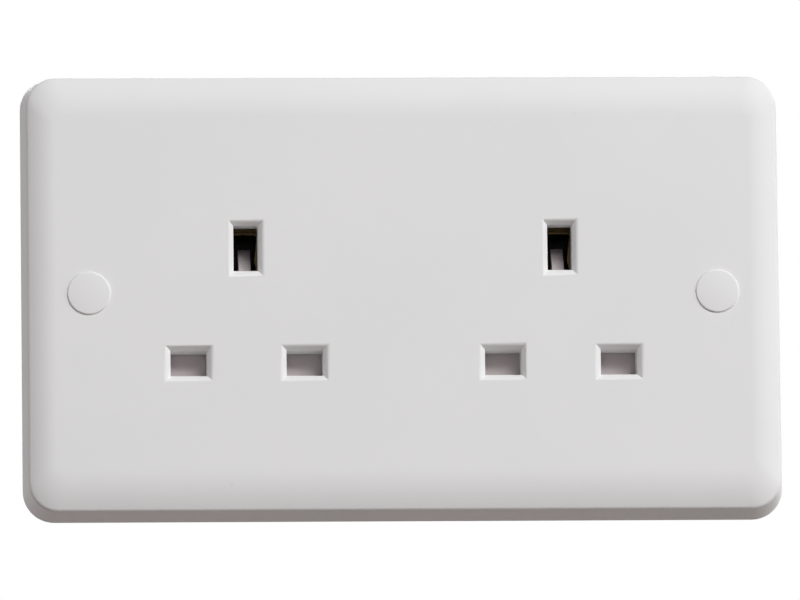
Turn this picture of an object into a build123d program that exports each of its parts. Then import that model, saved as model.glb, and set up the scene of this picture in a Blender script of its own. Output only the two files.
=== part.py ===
"""Two-gang unswitched wall socket for three rectangular pins, as an assembly of separate pieces.

Millimetres. +Z is up, +X is to the right seen from the front, +Y goes into the wall.
The plate's rim lies on the wall plane y = 0 and its face looks towards -Y.
"""

import math
import os

from build123d import *

# Front plate
PLATE_W = 146.0
PLATE_H = 86.0
PLATE_DEPTH = 10.0
EDGE_BAND_X = 5.4
EDGE_BAND_Z = 7.7
EDGE_DROP = 1.6
EDGE_SECTIONS = 5
FACE_CORNER_R = 2.0
CREASE_CORNER_R = 5.6
CREASE_R = 1.0
SIDE_FLARE = 1.0
RIM_CORNER_R = 6.0
FACE_WALL = 2.5
SIDE_WALL = 2.2
RIB_T = 1.4
RIB_DEPTH = 4.0

# Outlets and their pin apertures
OUTLET_PITCH = 60.3
EARTH_Z = 8.7
PIN_DROP = 22.23
PIN_SPAN = 22.23
EARTH_SLOT_W = 4.7
EARTH_SLOT_H = 8.75
POLE_SLOT_W = 7.0
POLE_SLOT_H = 4.9
POLE_SLOT_DEPTH = 6.2
EARTH_SLOT_DEPTH = 4.5
CHAMFER_W = 0.9
CHAMFER_DEPTH = 1.1
COLLAR_WALL = 1.5

# Fixing holes and their cover caps
FIXING_PITCH = 120.6
FIXING_HOLE_R = 2.0
FIXING_BOSS_R = 5.2
HEAD_RECESS_R = 3.5
HEAD_RECESS_DEPTH = 5.2
CAP_R = 4.05
CAP_PROUD = 0.35
CAP_SEAT_DEPTH = 0.6
CAP_EDGE = 0.3
CAP_SKIRT_T = 0.8
CAP_SKIRT_LENGTH = 1.8
CAP_GAP = 0.12
SKIRT_GAP = 0.05

# Shutters and their springs
SHUTTER_T = 1.8
SHUTTER_LAP = 0.6
SHUTTER_SIDE_LAP = 0.8
SHUTTER_FOOT = 1.4
STEM_W = 7.0
TONGUE_W = 2.3
TONGUE_TIP = 0.5
TONGUE_RISE = 0.5
RUN_GAP = 0.25
RAIL_T = 1.2
SPRING_R = 1.4
SPRING_WIRE = 0.4
SPRING_TURNS = 5
SPRING_TURN_SIDES = 12
SPRING_WIRE_SIDES = 4
PEG_R = 0.85
PEG_LENGTH = 2.0
PAD_HALF = 2.2

# Contact cover and rear housing
COVER_T = 1.6
HOUSING_W = 104.0
HOUSING_H = 50.0
HOUSING_Z = -2.0
HOUSING_DEPTH = 17.7
HOUSING_LOW_DEPTH = 14.1
HOUSING_CORNER_R = 3.0
HOUSING_EDGE = 0.6
LOCATING_GAP = 0.2
LOCATING_WALL = 1.6
PASSAGE_GAP = 0.3
POCKET_GAP = 0.4

# Contacts, bars and terminals
CONTACT_SETBACK = 1.0
CLIP_T = 0.7
CLIP_BEND_R = 0.9
CLIP_LEAD_IN = 3.0
POLE_CLIP_W = 6.0
POLE_CLIP_LENGTH = 9.7
EARTH_CLIP_LENGTH = 9.0
PIN_GAP = 0.08
CLIP_SPREAD = 0.65
BAR_T = 1.0
BAR_W = 4.2
EARTH_BAR_W = 7.0
BAR_INSULATION = 3.0
PIN_THICKNESS = 4.0
EARTH_PIN_WIDTH = 8.0
EARTH_PIN_REACH = 14.4
TERMINAL_W = 8.5
TERMINAL_H = 8.0
TERMINAL_FRONT = 1.7
WIRE_BORE_R = 2.4
WIRE_BORE_WALL = 1.0
EARTH_TERMINAL_PITCH = 14.0
BAY_GAP = 0.75
BAY_WALL = 1.6
TERMINAL_SCREW_R = 1.9
TERMINAL_SCREW_GAP = 0.05
TERMINAL_HEAD_R = 2.9
TERMINAL_HEAD_T = 2.2
DRIVER_SLOT_W = 0.8
DRIVER_SLOT_DEPTH = 1.1

# Screws that hold the housing to the plate
POST_R = 2.6
POST_HOLE_R = 1.35
HOUSING_SCREW_R = 1.3
HOUSING_SCREW_HEAD_R = 2.7
HOUSING_SCREW_HEAD_T = 1.8
SCREW_CLEARANCE_R = 1.7
SCREW_COUNTERBORE_R = 3.0
SCREW_SEAT_T = 2.4
SCREW_TIP_GAP = 0.4
SCREW_EDGE_IN = 6.2
SCREW_UPPER_IN = 8.0
CROSS_W = 0.7
CROSS_LENGTH = 3.0
CROSS_DEPTH = 1.0

# Depths counted from the front face towards the wall
FACE_Y = -PLATE_DEPTH
INNER_Y = FACE_Y + FACE_WALL
POLE_COLLAR_Y = FACE_Y + POLE_SLOT_DEPTH
EARTH_COLLAR_Y = FACE_Y + EARTH_SLOT_DEPTH
TONGUE_FRONT_Y = EARTH_COLLAR_Y + RUN_GAP
SHUTTER_Y0 = POLE_COLLAR_Y + RUN_GAP
SHUTTER_Y1 = SHUTTER_Y0 + SHUTTER_T
COVER_Y0 = SHUTTER_Y1 + RUN_GAP
COVER_Y1 = COVER_Y0 + COVER_T
HOUSING_Y1 = COVER_Y1 + HOUSING_DEPTH
HOUSING_LOW_Y1 = COVER_Y1 + HOUSING_LOW_DEPTH
CONTACT_Y = COVER_Y1 + CONTACT_SETBACK
BAR_Y0 = CONTACT_Y + POLE_CLIP_LENGTH
BAR_Y1 = BAR_Y0 + BAR_T
TERMINAL_Y0 = COVER_Y1 + TERMINAL_FRONT
WIRE_Y = TERMINAL_Y0 + WIRE_BORE_WALL + WIRE_BORE_R
SCREW_SEAT_Y = HOUSING_LOW_Y1 - SCREW_SEAT_T

# Places across the face
OUTLET_X = OUTLET_PITCH / 2
POLE_Z = EARTH_Z - PIN_DROP
EARTH_SLOT_BOTTOM = EARTH_Z - EARTH_SLOT_H / 2
EARTH_SLOT_TOP = EARTH_Z + EARTH_SLOT_H / 2
POLE_SLOT_BOTTOM = POLE_Z - POLE_SLOT_H / 2
POLE_SLOT_TOP = POLE_Z + POLE_SLOT_H / 2
HOUSING_BOTTOM = HOUSING_Z - HOUSING_H / 2
HOUSING_TOP = HOUSING_Z + HOUSING_H / 2
SPRING_SEAT_Z = HOUSING_BOTTOM - LOCATING_GAP

# The shutter has to drop by a whole aperture and its lap to let the pins through
SHUTTER_TRAVEL = POLE_SLOT_H + SHUTTER_LAP
SHUTTER_W = PIN_SPAN + POLE_SLOT_W + 2 * SHUTTER_SIDE_LAP
SHUTTER_TOP = POLE_SLOT_TOP + SHUTTER_LAP
SHUTTER_BOTTOM = POLE_SLOT_BOTTOM - SHUTTER_FOOT
STEM_TOP = EARTH_SLOT_BOTTOM - PASSAGE_GAP
TONGUE_TOP = EARTH_SLOT_BOTTOM + SHUTTER_TRAVEL - RUN_GAP / 2
TONGUE_BACK_Y = CONTACT_Y - CLIP_T
TONGUE_SWEPT_BOTTOM = STEM_TOP - SHUTTER_TRAVEL - POCKET_GAP
SPRING_Y = (INNER_Y + COVER_Y0) / 2

# Bars and terminals
PINCH_HALF = PIN_THICKNESS / 2 + PIN_GAP + CLIP_T / 2
SPREAD_HALF = PINCH_HALF + CLIP_SPREAD
CLIP_HALF = SPREAD_HALF + CLIP_T / 2
EARTH_BAR_Z0 = EARTH_Z + EARTH_PIN_WIDTH / 2 + CLIP_T + RUN_GAP / 2
EARTH_BAR_Z1 = EARTH_BAR_Z0 + BAR_T
EARTH_BAR_Y0 = CONTACT_Y + 2 * CLIP_T
EARTH_BAR_Y1 = EARTH_BAR_Y0 + EARTH_BAR_W
LIVE_BAR_Z = POLE_Z + CLIP_HALF + BAR_INSULATION + BAR_W / 2
TERMINAL_Z = HOUSING_BOTTOM + WIRE_BORE_WALL + TERMINAL_H / 2
NEUTRAL_BAR_Z = TERMINAL_Z
EARTH_TERMINAL_Z = EARTH_BAR_Z1 + TERMINAL_H / 2
BAY_HALF = TERMINAL_W / 2 + BAY_GAP
TIP_REACH = math.sqrt(WIRE_BORE_R**2 - TERMINAL_SCREW_R**2)
TERMINAL_SCREW_TRAVEL = WIRE_BORE_R + TIP_REACH - RUN_GAP
TERMINAL_HEAD_Y = BAR_Y1 + TERMINAL_SCREW_TRAVEL + RUN_GAP
TERMINAL_TIP_Y = WIRE_Y + WIRE_BORE_R + TERMINAL_SCREW_GAP

# Every pole contact sits at one of these places; the first of each pair is on the left outlet
NEUTRAL_XS = (-OUTLET_X - PIN_SPAN / 2, OUTLET_X - PIN_SPAN / 2)
LIVE_XS = (-OUTLET_X + PIN_SPAN / 2, OUTLET_X + PIN_SPAN / 2)
EARTH_XS = (-OUTLET_X, OUTLET_X)
UPPER_SCREW_X = HOUSING_W / 2 - SCREW_EDGE_IN
UPPER_SCREW_Z = HOUSING_TOP - SCREW_UPPER_IN
SCREW_PLACES = ((-UPPER_SCREW_X, UPPER_SCREW_Z), (UPPER_SCREW_X, UPPER_SCREW_Z), (0.0, POLE_Z))


def slab(outline, y0, y1):
    """An outline drawn in X and Z, made solid from depth y0 to depth y1."""
    return extrude(Plane.XZ.offset(-y1) * outline, amount=y1 - y0)


def block(x0, x1, y0, y1, z0, z1):
    """A plain block between two corners."""
    return Pos((x0 + x1) / 2, (y0 + y1) / 2, (z0 + z1) / 2) * Box(x1 - x0, y1 - y0, z1 - z0)


def rod_y(x, z, radius, y0, y1):
    """A round bar along Y."""
    return slab(Pos(x, z) * Circle(radius), y0, y1)


def rod_z(x, y, radius, z0, z1):
    """A round bar along Z."""
    return Pos(x, y, z0) * extrude(Circle(radius), amount=z1 - z0)


def rounded(width, height, radius, z=0.0):
    """A rectangle with round corners, centred on x = 0 at the height z."""
    return Pos(0, z) * RectangleRounded(width, height, radius)


def aperture_places():
    """Centre, width, height and inner end of each of the six pin apertures."""
    places = [(x, EARTH_Z, EARTH_SLOT_W, EARTH_SLOT_H, EARTH_COLLAR_Y) for x in EARTH_XS]
    places += [(x, POLE_Z, POLE_SLOT_W, POLE_SLOT_H, POLE_COLLAR_Y) for x in NEUTRAL_XS + LIVE_XS]
    return places


def plate_outside():
    """The plate's outside: a face that curves down to a soft crease, and flared sides behind it."""
    crease_w = PLATE_W - 2 * SIDE_FLARE
    crease_h = PLATE_H - 2 * SIDE_FLARE
    curve_r = (EDGE_BAND_X**2 + EDGE_DROP**2) / (2 * EDGE_DROP)
    sweep_angle = math.asin(EDGE_BAND_X / curve_r)
    sections = []
    for step in range(EDGE_SECTIONS):
        angle = sweep_angle * step / (EDGE_SECTIONS - 1)
        share = math.sin(angle) / math.sin(sweep_angle)
        width = crease_w - 2 * EDGE_BAND_X * (1 - share)
        height = crease_h - 2 * EDGE_BAND_Z * (1 - share)
        corner_r = FACE_CORNER_R + (CREASE_CORNER_R - FACE_CORNER_R) * share
        drop = curve_r * (1 - math.cos(angle))
        section = Plane.XZ.offset(-FACE_Y - drop) * RectangleRounded(width, height, corner_r)
        sections.append(section.face())
    rim = Plane.XZ * RectangleRounded(PLATE_W, PLATE_H, RIM_CORNER_R)
    outside = loft(sections) + loft([rim.face(), sections[-1]], ruled=True)
    crease_y = FACE_Y + EDGE_DROP
    crease = outside.edges().filter_by_position(Axis.Y, crease_y - CREASE_R / 2, crease_y + CREASE_R / 2)
    return fillet(crease, CREASE_R)


def front_plate():
    """The white moulding: face, sides, apertures with collars, bosses, posts, rails and ribs."""
    inner_w = PLATE_W - 2 * (SIDE_FLARE + SIDE_WALL)
    inner_h = PLATE_H - 2 * (SIDE_FLARE + SIDE_WALL)
    inner_corner_r = RIM_CORNER_R / 2
    plate = plate_outside() - slab(rounded(inner_w, inner_h, inner_corner_r), INNER_Y, 1.0)

    # Wall that locates the cover and the housing, and closes the shutter chamber
    ring_w = HOUSING_W + 2 * LOCATING_GAP
    ring_h = HOUSING_H + 2 * LOCATING_GAP
    ring_r = HOUSING_CORNER_R + LOCATING_GAP
    ring_outline = rounded(ring_w + 2 * LOCATING_WALL, ring_h + 2 * LOCATING_WALL,
                           ring_r + LOCATING_WALL, HOUSING_Z)
    ring_outline -= rounded(ring_w, ring_h, ring_r, HOUSING_Z)
    plate += slab(ring_outline, INNER_Y, COVER_Y1 - LOCATING_GAP)

    # Ribs from that wall to the sides, and webs at the fixing bosses
    ring_top = HOUSING_TOP + LOCATING_GAP
    ring_bottom = HOUSING_BOTTOM - LOCATING_GAP
    rib_y1 = INNER_Y + RIB_DEPTH
    for x in (-OUTLET_X, 0.0, OUTLET_X):
        plate += block(x - RIB_T / 2, x + RIB_T / 2, INNER_Y, rib_y1,
                       ring_top + LOCATING_WALL / 2, inner_h / 2 + SIDE_WALL / 4)
        plate += block(x - RIB_T / 2, x + RIB_T / 2, INNER_Y, rib_y1,
                       -inner_h / 2 - SIDE_WALL / 4, ring_bottom - LOCATING_WALL / 2)
    for side in (-1, 1):
        web_x0 = side * (ring_w / 2 + LOCATING_WALL / 2)
        web_x1 = side * (inner_w / 2 + SIDE_WALL / 4)
        plate += block(min(web_x0, web_x1), max(web_x0, web_x1), INNER_Y, rib_y1, -RIB_T / 2, RIB_T / 2)
        plate += rod_y(side * FIXING_PITCH / 2, 0, FIXING_BOSS_R, INNER_Y, 0)

    # Posts for the housing screws
    for x, z in SCREW_PLACES:
        plate += rod_y(x, z, POST_R, INNER_Y, COVER_Y0)

    # Collars behind the apertures, on which the shutters slide
    for x, z, width, height, end_y in aperture_places():
        plate += block(x - width / 2 - COLLAR_WALL, x + width / 2 + COLLAR_WALL, INNER_Y, end_y,
                       z - height / 2 - COLLAR_WALL, z + height / 2 + COLLAR_WALL)

    # Rails beside each shutter, and the peg that holds its spring
    rail_half = SHUTTER_W / 2 + RUN_GAP
    rail_z0 = SHUTTER_BOTTOM - SHUTTER_TRAVEL
    for x in EARTH_XS:
        for side in (-1, 1):
            rail_x0 = x + side * rail_half
            rail_x1 = x + side * (rail_half + RAIL_T)
            plate += block(min(rail_x0, rail_x1), max(rail_x0, rail_x1), INNER_Y, COVER_Y0 - RUN_GAP,
                           rail_z0, SHUTTER_TOP)
        plate += rod_z(x, SPRING_Y, PEG_R, SPRING_SEAT_Z - LOCATING_WALL / 2, SPRING_SEAT_Z + PEG_LENGTH)

    # Cuts from the front: chamfered apertures, fixing holes with head recess and cap seat
    for x, z, width, height, end_y in aperture_places():
        plate -= block(x - width / 2, x + width / 2, FACE_Y - 1, end_y + 1, z - height / 2, z + height / 2)
        mouth = Plane.XZ.offset(-FACE_Y) * Pos(x, z) * Rectangle(width + 2 * CHAMFER_W, height + 2 * CHAMFER_W)
        throat = Plane.XZ.offset(-FACE_Y - CHAMFER_DEPTH) * Pos(x, z) * Rectangle(width, height)
        plate -= loft([throat.face(), mouth.face()], ruled=True)
    for side in (-1, 1):
        x = side * FIXING_PITCH / 2
        plate -= rod_y(x, 0, FIXING_HOLE_R, FACE_Y - 1, 1)
        plate -= rod_y(x, 0, HEAD_RECESS_R, FACE_Y - 1, FACE_Y + HEAD_RECESS_DEPTH)
        plate -= rod_y(x, 0, CAP_R + CAP_GAP, FACE_Y - 1, FACE_Y + CAP_SEAT_DEPTH)
    for x, z in SCREW_PLACES:
        plate -= rod_y(x, z, POST_HOLE_R, INNER_Y, COVER_Y0 + 1)
    return plate


def screw_cap(side):
    """A round cover cap: a disc with a bevelled edge and a hollow skirt that grips the head recess."""
    x = side * FIXING_PITCH / 2
    seat_y = FACE_Y + CAP_SEAT_DEPTH
    disc = rod_y(x, 0, CAP_R, FACE_Y - CAP_PROUD, seat_y)
    disc = chamfer(disc.faces().sort_by(Axis.Y)[0].edges(), CAP_EDGE)
    skirt_r = HEAD_RECESS_R - SKIRT_GAP
    skirt = rod_y(x, 0, skirt_r, seat_y, seat_y + CAP_SKIRT_LENGTH)
    skirt -= rod_y(x, 0, skirt_r - CAP_SKIRT_T, seat_y, seat_y + CAP_SKIRT_LENGTH + 1)
    return disc + skirt


def shutter(x):
    """One shutter: a bar that blocks both pole apertures, a stem, a ramped tongue and a spring pad."""
    body = block(x - SHUTTER_W / 2, x + SHUTTER_W / 2, SHUTTER_Y0, SHUTTER_Y1, SHUTTER_BOTTOM, SHUTTER_TOP)
    body += block(x - STEM_W / 2, x + STEM_W / 2, SHUTTER_Y0, SHUTTER_Y1, SHUTTER_BOTTOM, STEM_TOP)
    ramp_z = STEM_TOP - TONGUE_RISE
    ramp = Polyline(
        (TONGUE_FRONT_Y, ramp_z),
        (TONGUE_BACK_Y - TONGUE_TIP, TONGUE_TOP),
        (TONGUE_BACK_Y, TONGUE_TOP),
        (TONGUE_BACK_Y, STEM_TOP + SHUTTER_T),
        (SHUTTER_Y1, STEM_TOP),
        (SHUTTER_Y1, ramp_z),
        (SHUTTER_Y0, ramp_z - (SHUTTER_Y0 - TONGUE_FRONT_Y)),
        close=True,
    )
    body += extrude(Plane.YZ.offset(x - TONGUE_W / 2) * make_face(ramp), amount=TONGUE_W)
    body += block(x - PAD_HALF, x + PAD_HALF, SPRING_Y - SPRING_R - SPRING_WIRE / 2, SHUTTER_Y1,
                  SHUTTER_BOTTOM, SHUTTER_BOTTOM + SHUTTER_T)
    body += rod_z(x, SPRING_Y, PEG_R, SHUTTER_BOTTOM - PEG_LENGTH, SHUTTER_BOTTOM + SHUTTER_T / 2)
    return body


def shutter_spring(x):
    """The coil spring between the locating wall and a shutter's pad."""
    length = SHUTTER_BOTTOM - SPRING_SEAT_Z - SPRING_WIRE - RUN_GAP / 2
    steps = SPRING_TURNS * SPRING_TURN_SIDES
    sections = []
    for step in range(steps + 1):
        section = Pos(SPRING_R, length * step / steps) * RegularPolygon(SPRING_WIRE / 2, SPRING_WIRE_SIDES)
        sections.append((Rot(0, 0, 360 * step / SPRING_TURN_SIDES) * (Plane.XZ * section)).face())
    return Pos(x, SPRING_Y, SPRING_SEAT_Z + SPRING_WIRE / 2 + RUN_GAP / 4) * loft(sections, ruled=True)


def contact_cover():
    """The insulating plate behind the shutters, with a passage for every pin and screw."""
    cover = slab(rounded(HOUSING_W, HOUSING_H, HOUSING_CORNER_R, HOUSING_Z), COVER_Y0, COVER_Y1)
    for x in NEUTRAL_XS + LIVE_XS:
        half_w = POLE_SLOT_W / 2 + PASSAGE_GAP
        half_h = POLE_SLOT_H / 2 + PASSAGE_GAP
        cover -= block(x - half_w, x + half_w, COVER_Y0 - 1, COVER_Y1 + 1, POLE_Z - half_h, POLE_Z + half_h)
    for x in EARTH_XS:
        half_w = EARTH_SLOT_W / 2 + PASSAGE_GAP
        cover -= block(x - half_w, x + half_w, COVER_Y0 - 1, COVER_Y1 + 1,
                       TONGUE_SWEPT_BOTTOM, EARTH_SLOT_TOP + COLLAR_WALL)
    for x, z in SCREW_PLACES:
        cover -= rod_y(x, z, SCREW_CLEARANCE_R, COVER_Y0 - 1, COVER_Y1 + 1)
    return cover


def rear_housing():
    """The dark moulding behind the wall plane: pockets for contacts and bars, bays for terminals."""
    half_w = HOUSING_W / 2
    step_z = TONGUE_SWEPT_BOTTOM
    outline = rounded(HOUSING_W, HOUSING_H, HOUSING_CORNER_R, HOUSING_Z)
    deep = slab(outline, COVER_Y1, HOUSING_Y1)
    deep -= block(-half_w - 1, half_w + 1, COVER_Y1 - 1, HOUSING_Y1 + 1, HOUSING_BOTTOM - 1, step_z)
    deep = chamfer(deep.faces().sort_by(Axis.Y)[-1].edges(), HOUSING_EDGE)
    low = slab(outline, COVER_Y1, HOUSING_LOW_Y1)
    body = deep + chamfer(low.faces().sort_by(Axis.Y)[-1].edges(), HOUSING_EDGE)

    # Barrier walls beside the pole terminals, as deep as the upper part
    tower_half = BAY_HALF + BAY_WALL
    bay_top = TERMINAL_Z + TERMINAL_H / 2 + BAY_GAP
    for x in EARTH_XS:
        body += block(x - tower_half, x + tower_half, COVER_Y1, HOUSING_Y1, HOUSING_BOTTOM, bay_top + BAY_WALL)

    # Bays, open behind and towards the wires
    for x in EARTH_XS:
        body -= block(x - BAY_HALF, x + BAY_HALF, COVER_Y1 - 1, HOUSING_Y1 + 1, HOUSING_BOTTOM - 1, bay_top)
    earth_bay_half = EARTH_TERMINAL_PITCH / 2 + BAY_HALF
    body -= block(-earth_bay_half, earth_bay_half, COVER_Y1 - 1, HOUSING_Y1 + 1, EARTH_BAR_Z1, HOUSING_TOP + 1)

    # Pockets for the clips
    clip_half = CLIP_HALF + POCKET_GAP
    pole_half = POLE_CLIP_W / 2 + POCKET_GAP
    for x in NEUTRAL_XS + LIVE_XS:
        body -= block(x - pole_half, x + pole_half, COVER_Y1 - 1, BAR_Y1, POLE_Z - clip_half, POLE_Z + clip_half)
    for x in EARTH_XS:
        body -= block(x - clip_half, x + clip_half, COVER_Y1 - 1, COVER_Y1 + EARTH_PIN_REACH,
                      EARTH_Z - EARTH_PIN_WIDTH / 2 - CLIP_T, EARTH_BAR_Z1)
        body -= block(x - clip_half, x + clip_half, COVER_Y1 - 1, CONTACT_Y, TONGUE_SWEPT_BOTTOM, EARTH_Z)

    # Channels for the bars, open to the front so that bars with clips drop in
    for channel in (neutral_bar_outline(POCKET_GAP), live_bar_outline(POCKET_GAP)):
        body -= slab(channel, COVER_Y1 - 1, BAR_Y1)
    earth_half = OUTLET_X + CLIP_HALF + POCKET_GAP
    body -= block(-earth_half, earth_half, COVER_Y1 - 1, EARTH_BAR_Y1, EARTH_BAR_Z0, EARTH_BAR_Z1 + POCKET_GAP)

    # Screw holes with counterbores
    for x, z in SCREW_PLACES:
        body -= rod_y(x, z, SCREW_CLEARANCE_R, COVER_Y1 - 1, HOUSING_Y1 + 1)
        body -= rod_y(x, z, SCREW_COUNTERBORE_R, SCREW_SEAT_Y, HOUSING_Y1 + 1)

    # Hollows that keep the walls thin
    hollow_y1 = HOUSING_Y1 - COVER_T
    hollow_z0 = LIVE_BAR_Z + BAR_W / 2 + POCKET_GAP + BAY_WALL
    hollow_z1 = EARTH_BAR_Z0 - BAY_WALL
    inner_x = OUTLET_X - clip_half - BAY_WALL
    for side in (-1, 1):
        hollow_x0 = side * BAY_WALL / 2
        hollow_x1 = side * inner_x
        body -= block(min(hollow_x0, hollow_x1), max(hollow_x0, hollow_x1), COVER_Y1 - 1, hollow_y1,
                      hollow_z0, hollow_z1)
        outer_x0 = side * (OUTLET_X + clip_half + BAY_WALL)
        outer_x1 = side * (half_w - BAY_WALL)
        outer_z1 = UPPER_SCREW_Z - SCREW_COUNTERBORE_R - BAY_WALL
        body -= block(min(outer_x0, outer_x1), max(outer_x0, outer_x1), COVER_Y1 - 1, hollow_y1,
                      hollow_z0, outer_z1)
    return body


def bar_sheet(xs, strip_z, gap):
    """A flat strip along X with a tab to each pole contact; the gap widens it for a channel."""
    half_w = POLE_CLIP_W / 2 + gap
    strip_half = BAR_W / 2 + gap
    left = min(xs) - half_w
    right = max(xs) + half_w
    sheet = Pos((left + right) / 2, strip_z) * Rectangle(right - left, 2 * strip_half)
    tab_end = POLE_Z + math.copysign(CLIP_HALF + gap, POLE_Z - strip_z)
    for x in xs:
        sheet += Pos(x, (strip_z + tab_end) / 2) * Rectangle(2 * half_w, abs(strip_z - tab_end))
    return sheet


def neutral_bar_outline(gap=0.0):
    """The neutral bar runs below its contacts and widens behind the neutral terminal."""
    eye = Pos(-OUTLET_X, TERMINAL_Z) * Rectangle(TERMINAL_W, TERMINAL_H)
    return bar_sheet(NEUTRAL_XS, NEUTRAL_BAR_Z, gap) + eye


def live_bar_outline(gap=0.0):
    """The live bar runs above its contacts and drops to the live terminal."""
    drop_half = TERMINAL_W / 2 + gap
    drop_end = TERMINAL_Z - TERMINAL_H / 2
    drop = Pos(OUTLET_X, (LIVE_BAR_Z + drop_end) / 2) * Rectangle(2 * drop_half, LIVE_BAR_Z - drop_end)
    return bar_sheet(LIVE_XS, LIVE_BAR_Z, gap) + drop


def pole_bar(outline, terminal_x):
    """A live or neutral bar with the hole for its terminal screw."""
    bar = slab(outline, BAR_Y0, BAR_Y1)
    return bar - rod_y(terminal_x, TERMINAL_Z, TERMINAL_SCREW_R + POCKET_GAP, BAR_Y0 - 1, BAR_Y1 + 1)


def earth_bar():
    """The earth bar lies flat across the tops of both earth clips."""
    half_l = OUTLET_X + CLIP_HALF
    return block(-half_l, half_l, EARTH_BAR_Y0, EARTH_BAR_Y1, EARTH_BAR_Z0, EARTH_BAR_Z1)


def pole_clip(x):
    """A folded brass clip that grips a live or neutral pin from above and below, welded to its bar."""
    back_y = BAR_Y0 - CLIP_T / 2
    pinch_y = CONTACT_Y + CLIP_LEAD_IN
    path = FilletPolyline(
        (CONTACT_Y, SPREAD_HALF), (pinch_y, PINCH_HALF), (back_y, SPREAD_HALF),
        (back_y, -SPREAD_HALF), (pinch_y, -PINCH_HALF), (CONTACT_Y, -SPREAD_HALF),
        radius=CLIP_BEND_R,
    )
    sheet = Plane.YZ.offset(x - POLE_CLIP_W / 2) * Pos(0, POLE_Z) * trace(path, CLIP_T)
    return extrude(sheet, amount=POLE_CLIP_W)


def earth_clip(x):
    """A folded brass clip that hangs from the earth bar and grips the earth pin from both sides."""
    top_z = EARTH_BAR_Z0 - CLIP_T / 2
    foot_z = EARTH_Z - EARTH_PIN_WIDTH / 2
    pinch_z = foot_z + CLIP_LEAD_IN
    path = FilletPolyline(
        (SPREAD_HALF, foot_z), (PINCH_HALF, pinch_z), (SPREAD_HALF, top_z),
        (-SPREAD_HALF, top_z), (-PINCH_HALF, pinch_z), (-SPREAD_HALF, foot_z),
        radius=CLIP_BEND_R,
    )
    return slab(Pos(x, 0) * trace(path, CLIP_T), CONTACT_Y, CONTACT_Y + EARTH_CLIP_LENGTH)


def terminal(x, z, y1):
    """A brass block with a bore for the wires and a tapped hole for the clamping screw."""
    body = block(x - TERMINAL_W / 2, x + TERMINAL_W / 2, TERMINAL_Y0, y1, z - TERMINAL_H / 2, z + TERMINAL_H / 2)
    body -= rod_z(x, WIRE_Y, WIRE_BORE_R, z - TERMINAL_H, z + TERMINAL_H)
    return body - rod_y(x, z, TERMINAL_SCREW_R + TERMINAL_SCREW_GAP, WIRE_Y, y1 + 1)


def terminal_screw(x, z):
    """A slotted terminal screw, backed out so that the wire bore is clear."""
    screw = rod_y(x, z, TERMINAL_SCREW_R, TERMINAL_TIP_Y, TERMINAL_HEAD_Y)
    head_y1 = TERMINAL_HEAD_Y + TERMINAL_HEAD_T
    screw += rod_y(x, z, TERMINAL_HEAD_R, TERMINAL_HEAD_Y, head_y1)
    return screw - block(x - TERMINAL_HEAD_R, x + TERMINAL_HEAD_R, head_y1 - DRIVER_SLOT_DEPTH, head_y1 + 1,
                         z - DRIVER_SLOT_W / 2, z + DRIVER_SLOT_W / 2)


def housing_screws():
    """The screws that pull the housing and the cover onto the plate's posts."""
    screws = []
    head_y1 = SCREW_SEAT_Y + HOUSING_SCREW_HEAD_T
    for x, z in SCREW_PLACES:
        screw = rod_y(x, z, HOUSING_SCREW_R, INNER_Y + SCREW_TIP_GAP, SCREW_SEAT_Y)
        screw += rod_y(x, z, HOUSING_SCREW_HEAD_R, SCREW_SEAT_Y, head_y1)
        for length, width in ((CROSS_LENGTH, CROSS_W), (CROSS_W, CROSS_LENGTH)):
            screw -= block(x - length / 2, x + length / 2, head_y1 - CROSS_DEPTH, head_y1 + 1,
                           z - width / 2, z + width / 2)
        screws.append(screw)
    return Compound(children=screws)


NODES = {
    "front_plate": front_plate(),
    "screw_cap_left": screw_cap(-1),
    "screw_cap_right": screw_cap(1),
    "shutter_left": shutter(-OUTLET_X),
    "shutter_right": shutter(OUTLET_X),
    "shutter_spring_left": shutter_spring(-OUTLET_X),
    "shutter_spring_right": shutter_spring(OUTLET_X),
    "contact_cover": contact_cover(),
    "rear_housing": rear_housing(),
    "live_bar": pole_bar(live_bar_outline(), OUTLET_X),
    "neutral_bar": pole_bar(neutral_bar_outline(), -OUTLET_X),
    "earth_bar": earth_bar(),
    "live_clip_left": pole_clip(LIVE_XS[0]),
    "live_clip_right": pole_clip(LIVE_XS[1]),
    "neutral_clip_left": pole_clip(NEUTRAL_XS[0]),
    "neutral_clip_right": pole_clip(NEUTRAL_XS[1]),
    "earth_clip_left": earth_clip(EARTH_XS[0]),
    "earth_clip_right": earth_clip(EARTH_XS[1]),
    "live_terminal": terminal(OUTLET_X, TERMINAL_Z, BAR_Y0),
    "neutral_terminal": terminal(-OUTLET_X, TERMINAL_Z, BAR_Y0),
    "earth_terminal_left": terminal(-EARTH_TERMINAL_PITCH / 2, EARTH_TERMINAL_Z, BAR_Y1),
    "earth_terminal_right": terminal(EARTH_TERMINAL_PITCH / 2, EARTH_TERMINAL_Z, BAR_Y1),
    "live_terminal_screw": terminal_screw(OUTLET_X, TERMINAL_Z),
    "neutral_terminal_screw": terminal_screw(-OUTLET_X, TERMINAL_Z),
    "earth_terminal_screw_left": terminal_screw(-EARTH_TERMINAL_PITCH / 2, EARTH_TERMINAL_Z),
    "earth_terminal_screw_right": terminal_screw(EARTH_TERMINAL_PITCH / 2, EARTH_TERMINAL_Z),
    "housing_screws": housing_screws(),
}

os.makedirs("parts", exist_ok=True)
for name, shape in NODES.items():
    export_step(shape, "parts/" + name + ".step")
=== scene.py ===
"""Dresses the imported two-gang wall socket and sets it in a plain white studio.

The solids and the way they move come from the frame. This script gives each of them its
finish, rounds the edges of the mouldings and the brass, winds the springs, cuts the screws,
and places the floor, the lamps and the camera.
"""

import logging
import math
from collections.abc import Callable, Iterator
from contextlib import contextmanager
from dataclasses import dataclass
from enum import Enum

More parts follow.
